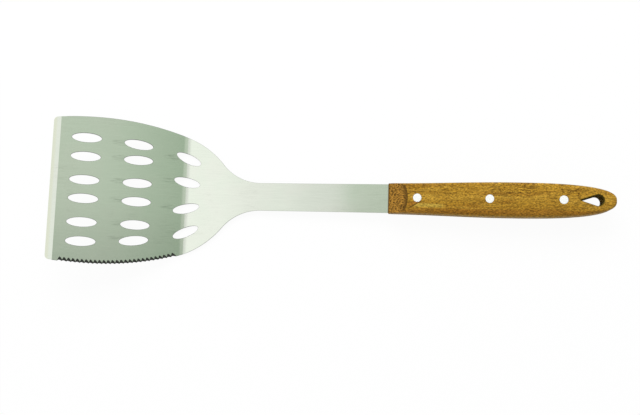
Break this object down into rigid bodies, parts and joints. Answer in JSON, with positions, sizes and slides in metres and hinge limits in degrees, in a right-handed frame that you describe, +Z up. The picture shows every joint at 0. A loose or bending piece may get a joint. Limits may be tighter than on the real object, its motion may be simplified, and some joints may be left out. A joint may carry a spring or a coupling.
{
  "type": "slotted grill turner",
  "caption": "Slotted steel grill turner with a bent blade, one serrated side, a ground front edge, and a wooden handle of two riveted scales with a teardrop hanging hole.",
  "frame": {"origin": "on the table, under the middle of the turner's footprint as it lies at rest", "axes": "+X along the turner from the blade to the handle's tip, +Y across it, away from the serrated side, +Z up from the table"},
  "size_m": [0.382, 0.1018, 0.0328],
  "materials": {
    "brushed_stainless": "bright brushed stainless steel, finely brushed along the tool",
    "handle_wood": "oiled golden brown hardwood with fine short dark pores, end grain on the nose slope",
    "rivet_steel": "polished flush rivet heads"
  },
  "bodies": {
    "root": {"blade_and_tang": "brushed_stainless", "upper_handle_scale": "handle_wood", "lower_handle_scale": "handle_wood", "front_rivet_pin": "rivet_steel", "front_rivet_sleeve": "rivet_steel", "middle_rivet_pin": "rivet_steel", "middle_rivet_sleeve": "rivet_steel", "rear_rivet_pin": "rivet_steel", "rear_rivet_sleeve": "rivet_steel"}
  },
  "joints": []
}
